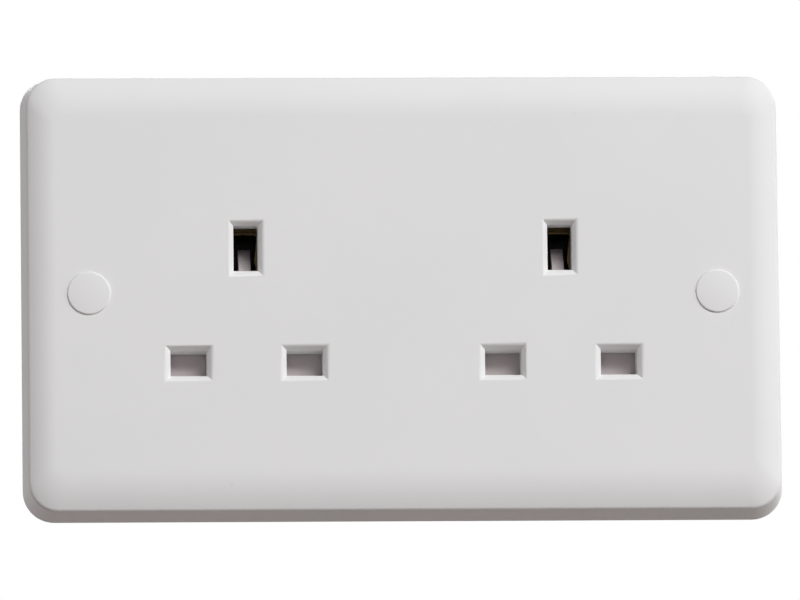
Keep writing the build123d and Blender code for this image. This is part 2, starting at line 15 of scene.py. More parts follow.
import bmesh
import bpy
from bpy.types import Material, Node, NodeSocket, NodeTree
from mathutils import Matrix, Vector


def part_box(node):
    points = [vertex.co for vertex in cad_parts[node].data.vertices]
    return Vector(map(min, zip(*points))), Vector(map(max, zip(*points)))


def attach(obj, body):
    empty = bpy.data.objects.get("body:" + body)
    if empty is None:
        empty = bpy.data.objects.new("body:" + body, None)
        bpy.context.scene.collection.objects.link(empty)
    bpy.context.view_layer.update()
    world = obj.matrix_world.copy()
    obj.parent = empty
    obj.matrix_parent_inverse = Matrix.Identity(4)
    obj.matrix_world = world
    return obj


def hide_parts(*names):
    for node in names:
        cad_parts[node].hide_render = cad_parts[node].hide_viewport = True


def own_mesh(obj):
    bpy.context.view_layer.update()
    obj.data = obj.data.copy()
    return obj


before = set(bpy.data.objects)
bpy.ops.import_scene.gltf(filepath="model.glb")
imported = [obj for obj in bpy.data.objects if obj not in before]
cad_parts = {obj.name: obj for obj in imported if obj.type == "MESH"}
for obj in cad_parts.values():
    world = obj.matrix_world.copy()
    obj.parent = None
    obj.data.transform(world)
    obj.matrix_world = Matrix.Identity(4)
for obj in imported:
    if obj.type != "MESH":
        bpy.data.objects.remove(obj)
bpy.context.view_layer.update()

LOG = logging.getLogger("socket")
RUBBED = "rubbed"
RUBBED_SLOT = 1
NORMAL_WEIGHT = 60
MM = 0.001
WELD = 0.002 * MM
QUARTER = math.pi / 2
LYING = (QUARTER, 0.0, 0.0)
WHITE = (1.0, 1.0, 1.0)
BLACK = (0.0, 0.0, 0.0)

# Angles between faces, in degrees; then how squarely a face has to look along an axis.
FLAT_ANGLE = 0.5
SMOOTH_ANGLE = 35.0
ROUNDED_FROM = 24.0
ROUNDED_SMOOTH = 40.0
SQUARE_ON = 0.9

# Ranges that patterns are read in and put out in; then shares of a pattern's scale.
WHOLE = (0.0, 1.0)
NOISE_SPREAD = (0.3, 0.7)
STAIN_SPREAD = (0.42, 0.75)
BREAK_SPREAD = (0.35, 0.65)
BREAK_LEFT = (0.2, 1.0)
SPECK_SIZES = (0.05, 0.16)
DRIFT_SHARE = 0.12
STAIN_SHARE = 0.08
BREAK_SHARE = 0.3
DRAWN_SHARE = 0.06

# The Mix node's sockets for colours, which have the same names as its other sockets.
MIX_FIRST = 6
MIX_SECOND = 7
MIX_RESULT = 2

Colour = tuple[float, float, float]
Triple = tuple[float, float, float]
Span = tuple[float, float]
Operator = Callable[..., set[str]]
PlaceTest = Callable[[Vector, Vector], bool]


class Body(Enum):
    """The bodies of the frame that pieces ride on."""

    SOCKET = "socket"
    SHUTTER_LEFT = "shutter_left"
    SHUTTER_RIGHT = "shutter_right"
    LIVE_SCREW = "live_screw"
    NEUTRAL_SCREW = "neutral_screw"
    EARTH_SCREW_LEFT = "earth_screw_left"
    EARTH_SCREW_RIGHT = "earth_screw_right"


class Slot(Enum):
    """The material slots of the record."""

    WHITE = "white_moulding"
    SHUTTER = "shutter_moulding"
    DARK = "dark_moulding"
    BRASS = "brass"
    SPRING = "spring_steel"
    PLATED = "plated_steel"


class Side(Enum):
    """The two outlets, as seen from the front."""

    LEFT = "left"
    RIGHT = "right"


class Run(Enum):
    """The way that the marks of rolling or drawing run on a metal piece."""

    ACROSS = (DRAWN_SHARE, 1.0, 1.0)
    DEEP = (1.0, DRAWN_SHARE, 1.0)
    UPRIGHT = (1.0, 1.0, DRAWN_SHARE)
    EVEN = (1.0, 1.0, 1.0)


class Tree:
    """Places and joins the nodes of one shader tree."""

    def __init__(self, tree: NodeTree) -> None:
        """Takes the tree to work on."""
        self.tree = tree

    def add(self, kind: str, **settings: object) -> Node:
        """Adds a node.

        Args:
            kind: The node's type, without the word ShaderNode.
            settings: Properties of the node itself.

        Returns:
            The new node.
        """
        node = self.tree.nodes.new(kind if kind.startswith("Node") else "ShaderNode" + kind)
        for key, value in settings.items():
            setattr(node, key, value)
        return node

    def feed(self, socket: NodeSocket, value: object) -> None:
        """Sets a socket, or links it.

        Args:
            socket: The input to feed.
            value: A plain value, or the output socket of another node.
        """
        if isinstance(value, NodeSocket):
            self.tree.links.new(value, socket)
        else:
            socket.default_value = value

    def math(self, operation: str, first: object, second: object) -> NodeSocket:
        """Adds a Math node.

        Args:
            operation: The name of the operation.
            first: The first value or socket.
            second: The second value or socket.

        Returns:
            The result's socket.
        """
        node = self.add("Math", operation=operation)
        self.feed(node.inputs[0], first)
        self.feed(node.inputs[1], second)
        return node.outputs[0]

    def remap(self, value: object, source: Span, target: Span) -> NodeSocket:
        """Stretches a value smoothly from one range to another.

        Args:
            value: The socket to read.
            source: The range that the value is read in.
            target: The range that it is put out in.

        Returns:
            The result's socket.
        """
        node = self.add("MapRange", interpolation_type="SMOOTHSTEP")
        for index, item in enumerate((value, *source, *target)):
            self.feed(node.inputs[index], item)
        return node.outputs[0]

    def blend(self, share: object, first: object, second: object) -> NodeSocket:
        """Mixes two colours.

        Args:
            share: How much of the second colour shows.
            first: The first colour or socket.
            second: The second colour or socket.

        Returns:
            The mixed colour's socket.
        """
        node = self.add("Mix", data_type="RGBA")
        self.feed(node.inputs[0], share)
        self.feed(node.inputs[MIX_FIRST], first)
        self.feed(node.inputs[MIX_SECOND], second)
        return node.outputs[MIX_RESULT]

    def mix_shaders(self, share: object, first: Node, second: Node) -> Node:
        """Mixes two shaders.

        Args:
            share: How much of the second shader shows.
            first: The first shader's node.
            second: The second shader's node.

        Returns:
            The mixing node.
        """
        node = self.add("MixShader")
        self.feed(node.inputs[0], share)
        self.feed(node.inputs[1], first.outputs[0])
        self.feed(node.inputs[2], second.outputs[0])
        return node

    def noise(self, place: NodeSocket, scale: object, detail: float, rough: float) -> NodeSocket:
        """Adds a noise pattern.

        Args:
            place: The coordinates that it is laid on.
            scale: How fine it is, in features to the metre.
            detail: How many finer layers it has.
            rough: How strong the finer layers are.

        Returns:
            The socket of the pattern's value.
        """
        node = self.add("TexNoise")
        self.feed(node.inputs["Vector"], place)
        self.feed(node.inputs["Scale"], scale)
        self.feed(node.inputs["Detail"], detail)
        self.feed(node.inputs["Roughness"], rough)
        return node.outputs[0]

    def emboss(self, shader: Node, height: NodeSocket) -> None:
        """Raises the surface by a height in metres.

        Args:
            shader: The shader whose normal is bent.
            height: The socket of the height.
        """
        bump = self.add("Bump")
        bump.inputs["Strength"].default_value = 1.0
        bump.inputs["Distance"].default_value = 1.0
        self.feed(bump.inputs["Height"], height)
        self.feed(shader.inputs["Normal"], bump.outputs["Normal"])


class Effect(Enum):
    """The surface effects that several finishes share, each one node group."""

    SKIN = "moulded_skin"
    SPECKS = "dust_specks"
    STREAKS = "drawn_streaks"
    RUB = "edge_rub"

    def group(self) -> NodeTree:
        """Gives the effect's node group, built on its first use."""
        known = bpy.data.node_groups.get(self.value)
        return known or EFFECT_MAKERS[self](self.value)

    def place(self, tree: Tree, **values: object) -> Node:
        """Puts the effect into a material.

        Args:
            tree: The material's tree.
            values: The group's inputs by name, with _ for a space.

        Returns:
            The group node.
        """
        node = tree.add("Group", node_tree=self.group())
        for key, value in values.items():
            tree.feed(node.inputs[key.replace("_", " ")], value)
        return node


def new_group(name: str, inputs: dict[str, str], outputs: list[str]) -> tuple[Tree, Node, Node]:
    """Starts a shader node group.

    Args:
        name: The group's name.
        inputs: The kind of socket for each named input, such as Float or Vector.
        outputs: The named values that it puts out.

    Returns:
        The tree, the group's input node and its output node.
    """
    tree = bpy.data.node_groups.new(name, "ShaderNodeTree")
    for label, kind in inputs.items():
        tree.interface.new_socket(label, in_out="INPUT", socket_type="NodeSocket" + kind)
    for label in outputs:
        tree.interface.new_socket(label, in_out="OUTPUT", socket_type="NodeSocketFloat")
    work = Tree(tree)
    return work, work.add("NodeGroupInput"), work.add("NodeGroupOutput")


def make_skin(name: str) -> NodeTree:
    """Builds the skin of a moulding: slow waves, fine grain, and a drift of tone.

    Args:
        name: The group's name.

    Returns:
        The group.
    """
    inputs = {"Wave Scale": "Float", "Grain Scale": "Float"}
    tree, given, out = new_group(name, inputs, ["Wave", "Grain", "Drift"])
    place = tree.add("TexCoord").outputs["Object"]
    tree.feed(out.inputs["Wave"], tree.noise(place, given.outputs["Wave Scale"], detail=1.0, rough=0.4))
    grain = tree.noise(place, given.outputs["Grain Scale"], detail=3.0, rough=0.6)
    tree.feed(out.inputs["Grain"], grain)
    slow = tree.math("MULTIPLY", given.outputs["Wave Scale"], DRIFT_SHARE)
    drift = tree.noise(place, slow, detail=3.0, rough=0.55)
    tree.feed(out.inputs["Drift"], tree.remap(drift, NOISE_SPREAD, WHOLE))
    return tree.tree


def make_specks(name: str) -> NodeTree:
    """Builds sparse round specks of dust.

    Args:
        name: The group's name.

    Returns:
        The group.
    """
    tree, given, out = new_group(name, {"Scale": "Float", "Share": "Float"}, ["Mask"])
    cells = tree.add("TexVoronoi")
    tree.feed(cells.inputs["Vector"], tree.add("TexCoord").outputs["Object"])
    tree.feed(cells.inputs["Scale"], given.outputs["Scale"])
    split = tree.add("SeparateColor")
    tree.feed(split.inputs["Color"], cells.outputs["Color"])
    chosen = tree.math("LESS_THAN", split.outputs["Red"], given.outputs["Share"])
    size = tree.remap(split.outputs["Green"], WHOLE, SPECK_SIZES)
    spot = tree.math("LESS_THAN", cells.outputs["Distance"], size)
    tree.feed(out.inputs["Mask"], tree.math("MULTIPLY", chosen, spot))
    return tree.tree


def make_streaks(name: str) -> NodeTree:
    """Builds the marks that rolling and drawing leave on metal.

    Args:
        name: The group's name.

    Returns:
        The group.
    """
    tree, given, out = new_group(name, {"Stretch": "Vector", "Scale": "Float"}, ["Streak", "Stain"])
    place = tree.add("TexCoord").outputs["Object"]
    drawn = tree.add("VectorMath", operation="MULTIPLY")
    tree.feed(drawn.inputs[0], place)
    tree.feed(drawn.inputs[1], given.outputs["Stretch"])
    streak = tree.noise(drawn.outputs[0], given.outputs["Scale"], detail=4.0, rough=0.65)
    tree.feed(out.inputs["Streak"], streak)
    slow = tree.math("MULTIPLY", given.outputs["Scale"], STAIN_SHARE)
    stain = tree.noise(place, slow, detail=4.0, rough=0.6)
    tree.feed(out.inputs["Stain"], tree.remap(stain, STAIN_SPREAD, WHOLE))
    return tree.tree


def make_rub(name: str) -> NodeTree:
    """Builds a broken mask of the rounded edges that hands and tools rub.

    Args:
        name: The group's name.

    Returns:
        The group.
    """
    tree, given, out = new_group(name, {"Break Scale": "Float"}, ["Mask"])
    edge = tree.add("Attribute", attribute_name=RUBBED).outputs["Fac"]
    place = tree.add("TexCoord").outputs["Object"]
    patches = tree.noise(place, given.outputs["Break Scale"], detail=3.0, rough=0.6)
    broken = tree.remap(patches, BREAK_SPREAD, BREAK_LEFT)
    tree.feed(out.inputs["Mask"], tree.math("MULTIPLY", edge, broken))
    return tree.tree


EFFECT_MAKERS: dict[Effect, Callable[[str], NodeTree]] = {
    Effect.SKIN: make_skin,
    Effect.SPECKS: make_specks,
    Effect.STREAKS: make_streaks,
    Effect.RUB: make_rub,
}


def rgba(colour: Colour) -> tuple[float, float, float, float]:
    """Gives a colour the fourth number that Blender's sockets want."""
    return (*colour, 1.0)


def start_material(name: str) -> tuple[Material, Tree, Node]:
    """Makes an empty material with its shader.

    Args:
        name: The material's name.

    Returns:
        The material, its tree and its Principled shader.
    """
    material = bpy.data.materials.new(name)
    material.use_nodes = True
    material.node_tree.nodes.clear()
    tree = Tree(material.node_tree)
    shader = tree.add("BsdfPrincipled")
    tree.feed(tree.add("OutputMaterial").inputs["Surface"], shader.outputs["BSDF"])
    return material, tree, shader


@dataclass(frozen=True)
class Moulding:
    """A plastic finish: tinted, with a moulded skin, specks and rubbed edges."""

    slot: Slot
    colour: Colour
    drift_colour: Colour
    speck_colour: Colour
    roughness: Span
    wave_scale: float
    grain_scale: float
    wave_depth: float
    grain_depth: float
    speck_scale: float
    speck_share: float
    speck_strength: float
    rub_strength: float = 0.0
    rub_colour: Colour = BLACK
    gloss: float = 0.5

    def material(self) -> Material:
        """Builds the finish.

        Returns:
            The material.
        """
        material, tree, shader = start_material(self.slot.value + "_finish")
        skin = Effect.SKIN.place(tree, Wave_Scale=self.wave_scale, Grain_Scale=self.grain_scale)
        specks = Effect.SPECKS.place(tree, Scale=self.speck_scale, Share=self.speck_share)
        tone = tree.blend(skin.outputs["Drift"], rgba(self.colour), rgba(self.drift_colour))
        if self.rub_strength:
            rub = Effect.RUB.place(tree, Break_Scale=self.wave_scale)
            rubbed = tree.math("MULTIPLY", rub.outputs["Mask"], self.rub_strength)
            tone = tree.blend(rubbed, tone, rgba(self.rub_colour))
        dust = tree.math("MULTIPLY", specks.outputs["Mask"], self.speck_strength)
        tree.feed(shader.inputs["Base Color"], tree.blend(dust, tone, rgba(self.speck_colour)))
        gloss = tree.remap(skin.outputs["Grain"], NOISE_SPREAD, self.roughness)
        tree.feed(shader.inputs["Roughness"], gloss)
        shader.inputs["Specular IOR Level"].default_value = self.gloss
        height = tree.math("MULTIPLY", skin.outputs["Wave"], self.wave_depth)
        fine = tree.math("MULTIPLY", skin.outputs["Grain"], self.grain_depth)
        tree.emboss(shader, tree.math("ADD", height, fine))
        return material


@dataclass(frozen=True)
class Metal:
    """A metal finish: rolled or drawn, with stains and brighter edges."""

    name: str
    colour: Colour
    stain_colour: Colour
    edge_colour: Colour
    roughness: Span
    streak_scale: float = 2600.0
    streak_depth: float = 0.004 * MM
    stain_strength: float = 0.55

    def material(self, run: Run) -> Material:
        """Builds the finish.

        Args:
            run: The way that its marks run.

        Returns:
            The material.
        """
        material, tree, shader = start_material(self.name + "_" + run.name.lower())
        marks = Effect.STREAKS.place(tree, Stretch=run.value, Scale=self.streak_scale)
        rub = Effect.RUB.place(tree, Break_Scale=self.streak_scale * BREAK_SHARE)
        stain = tree.math("MULTIPLY", marks.outputs["Stain"], self.stain_strength)
        tone = tree.blend(stain, rgba(self.colour), rgba(self.stain_colour))
        tone = tree.blend(rub.outputs["Mask"], tone, rgba(self.edge_colour))
        tree.feed(shader.inputs["Base Color"], tone)
        shader.inputs["Metallic"].default_value = 1.0
        gloss = tree.remap(marks.outputs["Streak"], NOISE_SPREAD, self.roughness)
        tree.feed(shader.inputs["Roughness"], gloss)
        tree.emboss(shader, tree.math("MULTIPLY", marks.outputs["Streak"], self.streak_depth))
        return material


WHITE_MOULDING = Moulding(
    slot=Slot.WHITE,
    colour=(0.850, 0.850, 0.855),
    drift_colour=(0.836, 0.838, 0.844),
    speck_colour=(0.42, 0.40, 0.38),
    roughness=(0.54, 0.62),
    gloss=0.4,
    wave_scale=260.0,
    grain_scale=2600.0,
    wave_depth=0.010 * MM,
    grain_depth=0.0008 * MM,
    speck_scale=240.0,
    speck_share=0.012,
    speck_strength=0.07,
)
# The shutters' off-white moulding, darkened and tinted: painted shade of the deep slots they sit in.
SHUTTER_MOULDING_SHADED = Moulding(
    slot=Slot.SHUTTER,
    colour=(0.625, 0.555, 0.56),
    drift_colour=(0.595, 0.53, 0.535),
    speck_colour=(0.4, 0.37, 0.33),
    roughness=(0.42, 0.55),
    wave_scale=420.0,
    grain_scale=3800.0,
    wave_depth=0.006 * MM,
    grain_depth=0.002 * MM,
    speck_scale=500.0,
    speck_share=0.02,
    speck_strength=0.3,
)
DARK_MOULDING = Moulding(
    slot=Slot.DARK,
    colour=(0.034, 0.031, 0.029),
    drift_colour=(0.043, 0.039, 0.036),
    speck_colour=(0.16, 0.15, 0.14),
    rub_colour=(0.085, 0.079, 0.074),
    roughness=(0.38, 0.56),
    wave_scale=300.0,
    grain_scale=5200.0,
    wave_depth=0.006 * MM,
    grain_depth=0.009 * MM,
    speck_scale=420.0,
    speck_share=0.05,
    speck_strength=0.5,
    rub_strength=0.7,
)
# The bars' brass: a darker copy of the block brass, with painted shade of the inside of the socket on
# top of its stains.
STRIP_BRASS_SHADED = Metal(
    name="strip_brass_shaded",
    colour=(0.36, 0.27, 0.12),
    stain_colour=(0.20, 0.14, 0.07),
    edge_colour=(0.42, 0.33, 0.17),
    roughness=(0.42, 0.60),
)
# The clips' brass: a much darker copy of the block brass, painted shade on the jaws deep in the
# apertures.
CLIP_BRASS_SHADED = Metal(
    name="clip_brass_shaded",
    colour=(0.19, 0.125, 0.062),
    stain_colour=(0.11, 0.07, 0.036),
    edge_colour=(0.46, 0.36, 0.18),
    roughness=(0.42, 0.60),
)
BLOCK_BRASS = Metal(
    name="block_brass",
    colour=(0.78, 0.57, 0.27),
    stain_colour=(0.50, 0.32, 0.14),
    edge_colour=(0.90, 0.71, 0.40),
    roughness=(0.24, 0.42),
)
SPRING_STEEL = Metal(
    name="spring_steel",
    colour=(0.50, 0.50, 0.51),
    stain_colour=(0.30, 0.27, 0.25),
    edge_colour=(0.58, 0.58, 0.60),
    roughness=(0.22, 0.38),
    streak_scale=5200.0,
    streak_depth=0.002 * MM,
    stain_strength=0.5,
)
PLATED_STEEL = Metal(
    name="plated_steel",
    colour=(0.67, 0.66, 0.63),
    stain_colour=(0.54, 0.50, 0.40),
    edge_colour=(0.80, 0.80, 0.80),
    roughness=(0.22, 0.40),
    streak_scale=2400.0,
    streak_depth=0.003 * MM,
    stain_strength=0.6,
)


class Workpiece:
    """One object on the bench, shaped with Blender's own operators."""

    def __init__(self, obj: bpy.types.Object) -> None:
        """Takes the object to work on."""
        self.obj = obj

    @classmethod
    def from_primitive(cls, name: str, operator: Operator, **settings: object) -> "Workpiece":
        """Adds a primitive at its size and place.

        Args:
            name: The piece's name.
            operator: Blender's operator for the primitive.
            settings: The primitive's size, place and turn.

        Returns:
            The piece, with its place in its mesh.
        """
        bpy.ops.object.select_all(action="DESELECT")
        operator(**settings)
        piece = cls(bpy.context.object)
        piece.call(name)
        piece.settle()
        piece.open_slots()
        return piece

    @classmethod
    def rod(cls, name: str, facets: int, radius: float, length: float, middle: Triple) -> "Workpiece":
        """Makes a plain round bar that lies from front to back.

        Args:
            name: The piece's name.
            facets: How many flats go round it.
            radius: Its radius.
            length: Its length.
            middle: The place of its middle.

        Returns:
            The bar.
        """
        return cls.from_primitive(
            name,
            bpy.ops.mesh.primitive_cylinder_add,
            vertices=facets,
            radius=radius,
            depth=length,
            location=middle,
            rotation=LYING,
        )

    @classmethod
    def block(cls, name: str, middle: Vector, size: Triple) -> "Workpiece":
        """Makes a plain block, for cutting.

        Args:
            name: The piece's name.
            middle: The place of its middle.
            size: Its length along each axis.

        Returns:
            The block.
        """
        add = bpy.ops.mesh.primitive_cube_add
        return cls.from_primitive(name, add, size=1.0, location=middle, scale=size)

    @classmethod
    def from_node(cls, node: str, name: str) -> "Workpiece":
        """Copies a solid of the frame and welds its loose triangles.

        Args:
            node: The solid's name.
            name: The new piece's name.

        Returns:
            The piece, on no body yet.
        """
        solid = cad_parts[node]
        obj = bpy.data.objects.new(name, solid.data.copy())
        bpy.context.scene.collection.objects.link(obj)
        piece = cls(obj)
        piece.call(name)
        piece.open_slots()
        with piece.edit():
            bpy.ops.mesh.remove_doubles(threshold=WELD)
            bpy.ops.mesh.customdata_custom_splitnormals_clear()
        return piece

    def call(self, name: str) -> None:
        """Names the object and its mesh."""
        self.obj.name = name
        self.obj.data.name = name

    def open_slots(self) -> None:
        """Gives the piece two empty slots, the second for the faces of rounded edges."""
        self.obj.data.materials.clear()
        for _ in range(2):
            self.obj.data.materials.append(None)

    def mark_rubbed(self) -> None:
        """Turns the second slot's faces into a mark that the finishes read."""
        mesh = self.obj.data
        mark = mesh.attributes.new(RUBBED, "FLOAT", "FACE")
        mark.data.foreach_set("value", [float(face.material_index) for face in mesh.polygons])
        mesh.polygons.foreach_set("material_index", [0] * len(mesh.polygons))

    def hold(self) -> None:
        """Makes this the only selected object and the active one."""
        bpy.ops.object.select_all(action="DESELECT")
        self.obj.select_set(True)
        bpy.context.view_layer.objects.active = self.obj

    def settle(self) -> None:
        """Moves the object's place, turn and scale into its mesh."""
        self.hold()
        bpy.ops.object.transform_apply(location=True, rotation=True, scale=True)

    @contextmanager
    def edit(self) -> Iterator[None]:
        """Keeps the piece in edit mode for a while, with all of it picked at first.

        Returns:
            Nothing to use; edit mode ends with the block.
        """
        self.hold()
        bpy.ops.object.mode_set(mode="EDIT")
        bpy.ops.mesh.select_all(action="SELECT")
        yield
        bpy.ops.object.mode_set(mode="OBJECT")

    def pick_faces(self, wanted: PlaceTest) -> None:
        """Selects faces, in edit mode.

        Args:
            wanted: Tells from a face's middle and normal whether it is picked.
        """
        bpy.ops.mesh.select_mode(type="FACE")
        bpy.ops.mesh.select_all(action="DESELECT")
        mesh = bmesh.from_edit_mesh(self.obj.data)
        for face in mesh.faces:
            face.select_set(wanted(face.calc_center_median(), face.normal))
        mesh.select_flush_mode()
        bmesh.update_edit_mesh(self.obj.data)

    def pick_edges(self, wanted: PlaceTest, sharper_than: float = 0.0) -> None:
        """Selects edges that stand out, in edit mode.

        Args:
            wanted: Tells from an edge's two ends whether it is picked.
            sharper_than: The bluntest edge that is picked, in degrees.
        """
        bpy.ops.mesh.select_mode(type="EDGE")
        bpy.ops.mesh.select_all(action="DESELECT")
        mesh = bmesh.from_edit_mesh(self.obj.data)
        for edge in mesh.edges:
            sharp = edge.calc_face_angle_signed(0.0) >= math.radians(sharper_than)
            edge.select_set(sharp and wanted(edge.verts[0].co, edge.verts[1].co))
        mesh.select_flush_mode()
        bmesh.update_edit_mesh(self.obj.data)

    def extrude(self, step: Triple) -> None:
        """Pulls the picked faces out, in edit mode.

        Args:
            step: How far they go along each axis.
        """
        bpy.ops.mesh.extrude_region_move(TRANSFORM_OT_translate={"value": step})

    def wind(self, turns: int, pitch: float, facets: int) -> None:
        """Winds the piece's ring up the Z axis and closes both ends.

        Args:
            turns: How many turns there are.
            pitch: How far one turn rises.
            facets: How many facets one turn has.
        """
        self.modify(
            "SCREW",
            axis="Z",
            angle=math.tau,
            screw_offset=pitch,
            iterations=turns,
            steps=facets,
            render_steps=facets,
            use_merge_vertices=False,
        )
        with self.edit():
            bpy.ops.mesh.fill_holes(sides=0)

    def face_outwards(self) -> None:
        """Merges doubles and turns every face outwards."""
        with self.edit():
            bpy.ops.mesh.remove_doubles(threshold=WELD)
            bpy.ops.mesh.normals_make_consistent(inside=False)

    def modify(self, kind: str, **settings: object) -> None:
        """Adds a modifier and applies it.

        Args:
            kind: The modifier's type.
            settings: Its properties.
        """
        modifier = self.obj.modifiers.new(kind.lower(), kind)
        for key, value in settings.items():
            setattr(modifier, key, value)
        self.hold()
        bpy.ops.object.modifier_apply(modifier=modifier.name)

    def combine(self, operation: str, other: "Workpiece") -> None:
        """Cuts another piece's shape out of this one, or adds it, and throws that piece away.

        Args:
            operation: DIFFERENCE to cut, UNION to add.
            other: The other piece.
        """
        self.modify("BOOLEAN", operation=operation, solver="EXACT", object=other.obj)
        bpy.data.objects.remove(other.obj, do_unlink=True)

    def join(self, others: list["Workpiece"]) -> None:
        """Takes other pieces into this object, each still its own shell.

        Args:
            others: The pieces that are taken in.
        """
        self.hold()
        for other in others:
            other.obj.select_set(True)
        bpy.ops.object.join()

    def twin(self, step: Vector) -> "Workpiece":
        """Copies the piece with its own mesh.

        Args:
            step: How far the copy stands off.

        Returns:
            The copy.
        """
        obj = self.obj.copy()
        obj.data = self.obj.data.copy()
        obj.data.transform(Matrix.Translation(step))
        bpy.context.scene.collection.objects.link(obj)
        return Workpiece(obj)

    def smooth(self, angle: float = SMOOTH_ANGLE) -> None:
        """Shades the piece smooth, with a crease at every sharper edge.

        Args:
            angle: The sharpest edge that is still smooth, in degrees.
        """
        self.hold()
        bpy.ops.object.shade_smooth_by_angle(angle=math.radians(angle))

    def even_out(self, angle: float) -> None:
        """Shades the piece smooth, with the wide faces kept flat.

        Args:
            angle: The sharpest edge that is still smooth, in degrees.
        """
        self.smooth(angle)
        self.modify("WEIGHTED_NORMAL", keep_sharp=True, weight=NORMAL_WEIGHT)

    def round_edges(self, width: float, steps: int, wanted: PlaceTest) -> None:
        """Gives the wanted sharp edges a small radius.

        Args:
            width: The radius's width.
            steps: How many facets it has.
            wanted: Tells from an edge's two ends whether it is rounded.
        """
        with self.edit():
            self.pick_faces(lambda centre, normal: wanted(centre, centre))
            bpy.ops.mesh.dissolve_limited(angle_limit=math.radians(FLAT_ANGLE))
            self.pick_edges(wanted, ROUNDED_FROM)
            bpy.ops.mesh.bevel(
                offset=width, segments=steps, miter_outer="ARC", clamp_overlap=True, material=RUBBED_SLOT
            )
        self.mark_rubbed()
        self.even_out(ROUNDED_SMOOTH)

    def hand_over(self, body: Body, slot: Slot, material: Material, stands_for: str) -> None:
        """Dresses the finished piece and puts it on its body.

        Args:
            body: The body that it rides on.
            slot: The record's slot that its finish comes from; not used.
            material: Its finish.
            stands_for: The solid that it replaces.
        """
        self.obj.data.materials.clear()
        self.obj.data.materials.append(material)
        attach(self.obj, body.value)
        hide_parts(stands_for)
        LOG.info("made %s", self.obj.name)


def dress(node: str, material: Material) -> None:
    """Gives a solid of the frame its finish.

    Args:
        node: The solid's name.
        material: Its finish.
    """
    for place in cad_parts[node].material_slots:
        place.material = material
    LOG.info("dressed %s", node)


def anywhere(first: Vector, second: Vector) -> bool:
    """Takes every edge."""
    return True


def outside(node: str) -> PlaceTest:
    """Gives a test for the edges on the six sides of a solid's box.

    Args:
        node: The solid's name.

    Returns:
        The test.
    """
    planes = [(axis, corner[axis]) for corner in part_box(node) for axis in range(3)]

    def wanted(first: Vector, second: Vector) -> bool:
        """Tells whether both ends lie on one side of the box."""
        return any(max(abs(first[axis] - at), abs(second[axis] - at)) < WELD for axis, at in planes)

    return wanted


@dataclass
class FrontPlate:
    """The white front plate, with the sharp edges of its face softened."""

    node: str = "front_plate"
    mouth_edge: float = 0.40 * MM
    seat_edge: float = 0.03 * MM
    edge_steps: int = 3
    seat_from: float = 55.0 * MM
    face_end: float = 66.0 * MM
    flat_angle: float = 0.05
    crease_angle: float = 28.0

    def build(self, finish: Material) -> None:
        """Softens the edges of the apertures and of the cap seats, and dresses the plate.

        Args:
            finish: The white moulding.
        """
        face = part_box(self.node)[0].y
        plate = Workpiece.from_node(self.node, "plate")
        with plate.edit():
            bpy.ops.mesh.dissolve_limited(angle_limit=math.radians(self.flat_angle))
            for start, end, width in (
                (0.0, self.seat_from, self.mouth_edge),
                (self.seat_from, self.face_end, self.seat_edge),
            ):
                plate.pick_edges(
                    lambda a, b: max(a.y, b.y) < face + WELD and start < (abs(a.x) + abs(b.x)) / 2 < end,
                    self.crease_angle,
                )
                bpy.ops.mesh.bevel(offset=width, segments=self.edge_steps)
        plate.even_out(self.crease_angle)
        plate.hand_over(Body.SOCKET, Slot.WHITE, finish, self.node)


@dataclass
class CoverCap:
    """A round cap over a fixing screw: a disc that fills its seat, on a hollow skirt."""

    side: Side
    facets: int = 96
    snug: float = 0.11 * MM
    edge_radius: float = 0.32 * MM
    edge_steps: int = 5
    disc_depth: float = 0.95 * MM
    skirt_in: float = 0.71 * MM
    skirt_wall: float = 0.8 * MM
    lip: float = 0.12 * MM
    lip_steps: int = 2
    rim_angle: float = 60.0

    def build(self, finish: Material) -> None:
        """Turns the cap and hands it over.

        Args:
            finish: The white moulding.
        """
        node = "screw_cap_" + self.side.value
        low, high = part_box(node)
        middle = (low + high) / 2
        radius = (high.x - low.x) / 2 + self.snug
        back = low.y + self.disc_depth
        disc = (middle.x, low.y + self.disc_depth / 2, middle.z)
        cap = Workpiece.rod("cap_" + self.side.value, self.facets, radius, self.disc_depth, disc)
        skirt_length = high.y - back
        with cap.edit():
            cap.pick_edges(lambda a, b: max(a.y, b.y) < low.y + WELD)
            bpy.ops.mesh.bevel(offset=self.edge_radius, segments=self.edge_steps)
            cap.pick_faces(lambda centre, normal: normal.y > SQUARE_ON)
            bpy.ops.mesh.inset(thickness=self.skirt_in)
            cap.extrude((0.0, skirt_length, 0.0))
            bpy.ops.mesh.inset(thickness=self.skirt_wall)
            cap.extrude((0.0, -skirt_length, 0.0))
            cap.pick_edges(lambda a, b: min(a.y, b.y) > high.y - WELD, self.rim_angle)
            bpy.ops.mesh.bevel(offset=self.lip, segments=self.lip_steps)
        cap.face_outwards()
        cap.smooth()
        cap.hand_over(Body.SOCKET, Slot.WHITE, finish, node)


